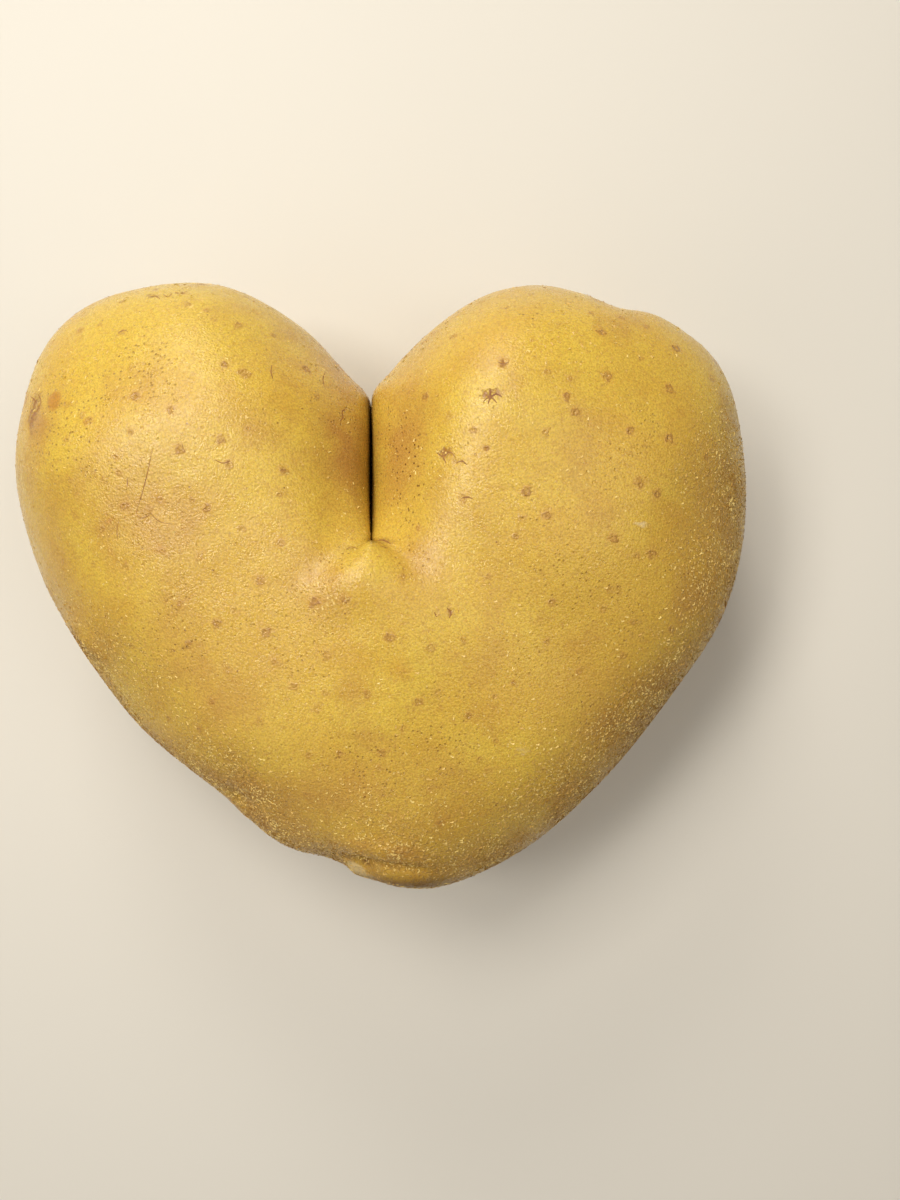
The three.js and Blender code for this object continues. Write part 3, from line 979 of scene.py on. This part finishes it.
def curled_flake(tree):
    """One flake with a side of one: its far end lifts off the skin, and its long sides bend down."""
    sheet = tree.add("GeometryNodeMeshGrid", {
        "Size X": FLAKE_LONG,
        "Size Y": FLAKE_WIDE,
        "Vertices X": FLAKE_CORNERS_LONG,
        "Vertices Y": FLAKE_CORNERS_WIDE,
    }).outputs[0]
    place = tree.add("ShaderNodeSeparateXYZ", {0: tree.add("GeometryNodeInputPosition").outputs[0]})
    along, across = place.outputs[0], place.outputs[1]
    lift = tree.times(tree.maths("POWER", tree.maths("ADD", along, 0.5), 2.0), END_LIFT)
    dip = tree.times(tree.maths("POWER", across, 2.0), SIDE_DIP)
    offset = tree.add("ShaderNodeCombineXYZ", {2: tree.maths("ADD", lift, dip)}).outputs[0]
    return tree.add("GeometryNodeSetPosition", {"Geometry": sheet, "Offset": offset}).outputs[0]


def flake_tree():
    """Small curled flakes, scattered where the skin is flaking."""
    tree = Tree("loose_flakes")
    ground = tree.takes("Skin", "Geometry")
    density = tree.takes("Flakes per square metre", "Float")
    side = tree.takes("Flake side", "Float")
    seed = tree.takes("Seed", "Int")
    finish = tree.takes("Finish", "Material")

    where = tree.add("GeometryNodeInputNamedAttribute", {"Name": "flakes"}, data_type="FLOAT").outputs[0]
    spots = {"Mesh": ground, "Density": tree.times(where, density), "Seed": seed}
    spots = tree.add("GeometryNodeDistributePointsOnFaces", spots)

    spin = tree.add("FunctionNodeEulerToRotation", {0: tree.chance(LEAST_SPIN, MOST_SPIN, seed)}).outputs[0]
    turned = {0: spots.outputs["Rotation"], 1: spin}
    turned = tree.add("FunctionNodeRotateRotation", turned, rotation_space="LOCAL").outputs[0]
    size = {0: tree.chance(LEAST_SIZE, MOST_SIZE, seed), 3: side}
    size = tree.add("ShaderNodeVectorMath", size, operation="SCALE").outputs[0]
    flakes = tree.add("GeometryNodeInstanceOnPoints", {
        "Points": spots.outputs["Points"],
        "Instance": curled_flake(tree),
        "Rotation": turned,
        "Scale": size,
    }).outputs[0]
    whole = tree.add("GeometryNodeRealizeInstances", {0: flakes}).outputs[0]
    tree.gives(tree.add("GeometryNodeSetMaterial", {"Geometry": whole, "Material": finish}).outputs[0])
    return tree


def make_flakes(mesh):
    """The loose flakes, grown on a copy of the skin's mesh."""
    flakes = bpy.data.objects.new("loose_flakes", mesh.copy())
    bpy.context.scene.collection.objects.link(flakes)
    tree = flake_tree()
    growing = flakes.modifiers.new("flakes", "NODES")
    growing.node_group = tree.graph
    growing[tree.identifier("Flakes per square metre")] = FLAKES_PER_SQUARE_METRE
    growing[tree.identifier("Flake side")] = FLAKE_SIDE
    growing[tree.identifier("Seed")] = FLAKE_SEED
    growing[tree.identifier("Finish")] = flake_finish()
    bake(flakes)
    return flakes


# Ribbons in the scratches and cracks

CRACK_STEP = 1.5  # pixels
CRACK_HEIGHT = 0.03 * MM
CRACK_END = 0.25  # share of its width that a ribbon keeps at its ends


def points_along(line, step):
    """Pixels along a smooth line through the given pixels, a step apart."""
    knots = np.array([line[0], *line, line[-1]], float)
    along = []
    for before, start, end, after in zip(knots, knots[1:], knots[2:], knots[3:]):
        for share in np.arange(0, 1, step / max(np.linalg.norm(end - start), step)):
            pull, push = (end - before) / 2, (after - start) / 2
            ease, rise = 2 * share**3 - 3 * share**2, share**3 - share**2
            drawn = (rise - share**2 + share) * pull + rise * push
            along.append((ease + 1) * start - ease * end + drawn)
    return [*along, knots[-1]]


def ribbon(spots, half_wide):
    """Corners of a ribbon along spots on the skin, three across, with tapered ends."""
    corners = []
    for i, (point, normal) in enumerate(spots):
        ahead = spots[min(i + 1, len(spots) - 1)][0] - spots[max(i - 1, 0)][0]
        taper = CRACK_END + (1 - CRACK_END) * math.sin(math.pi * (i + 0.5) / len(spots))
        sideways = ahead.cross(normal).normalized() * half_wide * PIXEL * taper
        corners += [point - sideways, point + normal * CRACK_HEIGHT, point + sideways]
    return corners


def make_cracks(sight):
    """Thin brown ribbons on the skin, one for each scratch or crack."""
    corners, faces = [], []
    for half_wide, line in CRACKS:
        spots = [sight.skin_at(*pixel) for pixel in points_along(line, CRACK_STEP)]
        for low in range(len(corners), len(corners) + 3 * len(spots) - 3, 3):
            faces += [(low, low + 1, low + 4, low + 3), (low + 1, low + 2, low + 5, low + 4)]
        corners += ribbon(spots, half_wide)
    mesh = bpy.data.meshes.new("skin_cracks")
    mesh.from_pydata([corner.to_tuple() for corner in corners], [], faces)
    mesh.materials.append(crack_finish())
    cracks = bpy.data.objects.new("skin_cracks", mesh)
    bpy.context.scene.collection.objects.link(cracks)
    return cracks


# Pieces, each on the potato's one body

skin = make_skin()
shape_skin(skin.data, Sight(skin.data))
shaped_sight = Sight(skin.data)
pores = spread_pores(skin.data, shaped_sight)
work_relief(skin.data, pores)
lay_marks(skin.data, shaped_sight)
lay_pores(skin.data, pores)
skin.data.materials.clear()
skin.data.materials.append(skin_finish())
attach(skin, "root")
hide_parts("potato")

for piece in (make_flakes(skin.data), make_cracks(Sight(skin.data))):
    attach(piece, "root")


# Floor and light

FLOOR_HALF = 1.5
WARM_TINT, MILD_TINT, FILL_TINT = (1.0, 0.95, 0.86), (1.0, 0.96, 0.88), (1.0, 0.94, 0.84)
SKY_TINT, SKY_STRENGTH = (1.0, 0.95, 0.88, 1), 0.14
# Lights: name, place, width, depth, power in watts, and tint.
LIGHTS = [
    ("far_key", (-0.11, 0.50, 0.32), 0.18, 0.14, 0.9, WARM_TINT),
    ("near_key", (-0.20, 0.30, 0.58), 0.32, 0.22, 2.1, WARM_TINT),
    ("left_key", (-0.31, 0.065, 0.60), 0.16, 0.16, 1.2, MILD_TINT),
    ("right_fill", (0.27, 0.02, 0.62), 0.40, 0.40, 1.0, FILL_TINT),
    ("front_fill", (-0.38, -0.34, 0.50), 0.40, 0.40, 0.45, FILL_TINT),
]


def make_floor():
    """A wide flat floor under the potato."""
    mesh = bpy.data.meshes.new("floor")
    corners = [(x * FLOOR_HALF, y * FLOOR_HALF, 0) for x, y in ((-1, -1), (1, -1), (1, 1), (-1, 1))]
    mesh.from_pydata(corners, [], [(0, 1, 2, 3)])
    floor = bpy.data.objects.new("floor", mesh)
    bpy.context.scene.collection.objects.link(floor)
    floor.data.materials.append(floor_finish())


def make_light(name, place, wide, deep, power, tint):
    """A soft light that shines from its place towards the middle of the floor."""
    data = bpy.data.lights.new(name, "AREA")
    data.shape, data.size, data.size_y = "RECTANGLE", wide, deep
    data.energy, data.color = power, tint
    light = bpy.data.objects.new(name, data)
    light.location = place
    light.rotation_euler = (-Vector(place)).to_track_quat("-Z", "Y").to_euler()
    bpy.context.scene.collection.objects.link(light)


def make_sky():
    """Faint warm light from all round."""
    world = bpy.data.worlds.new("studio")
    world.use_nodes = True
    world.node_tree.nodes["Background"].inputs["Color"].default_value = SKY_TINT
    world.node_tree.nodes["Background"].inputs["Strength"].default_value = SKY_STRENGTH
    bpy.context.scene.world = world


make_floor()
for light in LIGHTS:
    make_light(*light)
make_sky()
bpy.context.scene.view_settings.view_transform = "Standard"
